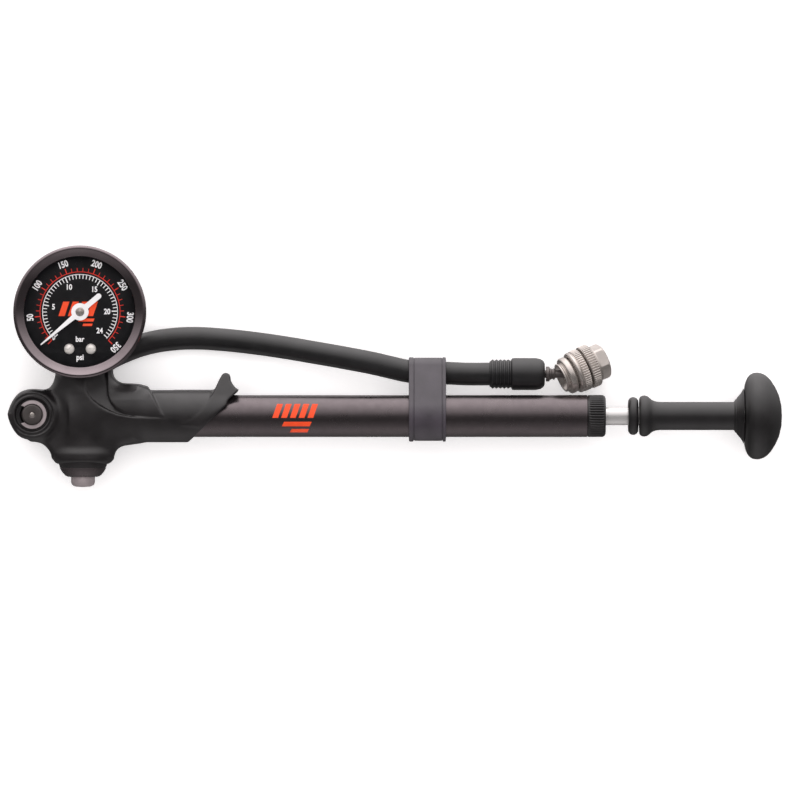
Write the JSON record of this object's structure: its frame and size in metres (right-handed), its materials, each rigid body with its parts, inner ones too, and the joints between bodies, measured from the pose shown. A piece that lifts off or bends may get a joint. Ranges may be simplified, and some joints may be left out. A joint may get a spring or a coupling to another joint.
{
  "type": "shock suspension pump",
  "caption": "Hand-held high-pressure pump with a dial gauge, a slim barrel with a mushroom handle, a bleed button and a short swivelling hose that ends in a screw-on valve chuck.",
  "frame": {"origin": "centre of the bounding box of the pump without its hose, at the height of the surface it lies on", "axes": "+X along the barrel towards the handle, +Y towards the gauge, +Z out of the dial (the pump lies on its back)"},
  "size_m": [0.258, 0.0804, 0.0325],
  "materials": {
    "head_casting": "black satin paint, lightly pebbled",
    "anodised_tube": "dark brown-grey anodised, satin",
    "gauge_black": "gloss black paint",
    "gauge_lens": "clear polycarbonate",
    "dial_face": "matte black print with red and white scales",
    "pointer_white": "matte white",
    "nickel": "satin nickel plate",
    "rod_steel": "polished steel",
    "brass": "machined brass",
    "handle_black": "gloss black moulded plastic",
    "bearing_polymer": "natural acetal",
    "hose_rubber": "satin black rubber",
    "strap_rubber": "dark grey rubber",
    "seal_rubber": "black nitrile"
  },
  "bodies": {
    "root": {"pump_head": "head_casting", "barrel": "anodised_tube", "barrel_end_cap": "anodised_tube", "guide_bush": "bearing_polymer", "rod_wiper": "seal_rubber", "check_seat": "brass", "check_spring": "rod_steel", "bleed_collar": "handle_black", "bleed_spring": "rod_steel", "gauge_case": "gauge_black", "gauge_bezel": "gauge_black", "gauge_lens": "gauge_lens", "gauge_dial": "dial_face", "dial_screw_left": "nickel", "dial_screw_right": "nickel", "gauge_socket": "brass", "gauge_seal": "seal_rubber", "bourdon_tube": "brass", "movement_front_plate": "brass", "movement_rear_plate": "brass", "swivel_elbow": "nickel", "swivel_seal_front": "seal_rubber", "swivel_seal_rear": "seal_rubber", "retaining_clip": "nickel", "hose_crimp": "nickel", "hose": "hose_rubber", "hose_boot": "hose_rubber", "chuck_nipple": "nickel"},
    "piston_slide": {"piston_seal": "seal_rubber"},
    "plunger": {"piston": "bearing_polymer", "piston_rod": "rod_steel", "top_out_bumper": "seal_rubber", "bumper_ring": "seal_rubber", "handle_grip": "handle_black", "handle_knob": "handle_black", "knob_insert": "brass"},
    "check_ball": {"check_ball": "rod_steel"},
    "bleed_button": {"bleed_button": "nickel", "bleed_pin": "brass", "bleed_seal": "seal_rubber"},
    "pointer": {"gauge_pointer": "pointer_white", "pinion_arbor": "rod_steel"},
    "sector": {"sector_gear": "brass"},
    "tip_link": {"tip_link": "rod_steel"},
    "chuck_tilt": {"ball_liner": "bearing_polymer"},
    "chuck": {"chuck_body": "nickel"},
    "chuck_rear_ring": {"chuck_rear_ring": "nickel"},
    "chuck_collar": {"chuck_front_collar": "nickel", "valve_seal": "seal_rubber"},
    "depressor": {"depressor_pin": "brass"},
    "strap": {"hose_strap": "strap_rubber"}
  },
  "joints": [
    {"name": "plunger_stroke", "type": "slide", "parent": "root", "child": "piston_slide", "axis": [1, 0, 0], "range_m": [-0.0073, 0.125]},
    {"name": "handle_spin", "type": "hinge", "parent": "piston_slide", "child": "plunger", "pos_m": [-0.073, -0.01645, 0.0165], "axis": [1, 0, 0], "continuous": true},
    {"name": "check_valve", "type": "slide", "parent": "root", "child": "check_ball", "axis": [-1, 0, 0], "range_m": [0, 0.0008], "stiffness_N_per_m": 60, "springref_m": -0.001, "deforming": ["check_spring"]},
    {"name": "bleed_press", "type": "slide", "parent": "root", "child": "bleed_button", "axis": [0, 1, 0], "range_m": [0, 0.0016], "stiffness_N_per_m": 800, "springref_m": -0.002, "deforming": ["bleed_spring"]},
    {"name": "gauge_pointer", "type": "hinge", "parent": "root", "child": "pointer", "pos_m": [-0.1046, 0.01815, 0.0165], "axis": [0, 0, 1], "range_deg": [-270, 0]},
    {"name": "sector_turn", "type": "hinge", "parent": "root", "child": "sector", "pos_m": [-0.09701, 0.01377, 0.0201], "axis": [0, 0, 1], "range_deg": [0, 56.25]},
    {"name": "link_turn", "type": "hinge", "parent": "sector", "child": "tip_link", "pos_m": [-0.09386, 0.01321, 0.0212], "axis": [0, 0, 1], "range_deg": [-56.25, 0]},
    {"name": "chuck_tilt", "type": "hinge", "parent": "root", "child": "chuck_tilt", "pos_m": [0.0587, -0.00245, 0.0125], "axis": [0, 0, 1], "range_deg": [-20, 2]},
    {"name": "chuck_swing", "type": "hinge", "parent": "chuck_tilt", "child": "chuck", "pos_m": [0.0587, -0.00245, 0.0125], "axis": [-0.3907, 0.9205, 0], "range_deg": [-36, 3]},
    {"name": "rear_ring_turn", "type": "hinge", "parent": "chuck", "child": "chuck_rear_ring", "pos_m": [0.0587, -0.00245, 0.0125], "axis": [0.8932, 0.3791, -0.2419], "range_deg": [0, 360]},
    {"name": "depressor_travel", "type": "slide", "parent": "chuck", "child": "depressor", "axis": [0.8932, 0.3791, -0.2419], "range_m": [0, 0.0012]},
    {"name": "collar_turn", "type": "hinge", "parent": "chuck", "child": "chuck_collar", "pos_m": [0.0587, -0.00245, 0.0125], "axis": [0.8932, 0.3791, -0.2419], "continuous": true},
    {"name": "strap_slide", "type": "slide", "parent": "root", "child": "strap", "axis": [1, 0, 0], "range_m": [0, 0.012]}
  ],
  "couplings": [
    {"joint": "sector_turn", "follows": "gauge_pointer", "ratio": -0.20833},
    {"joint": "link_turn", "follows": "gauge_pointer", "ratio": 0.20833},
    {"joint": "depressor_travel", "follows": "rear_ring_turn", "m_per_rad": 0.00019099}
  ]
}
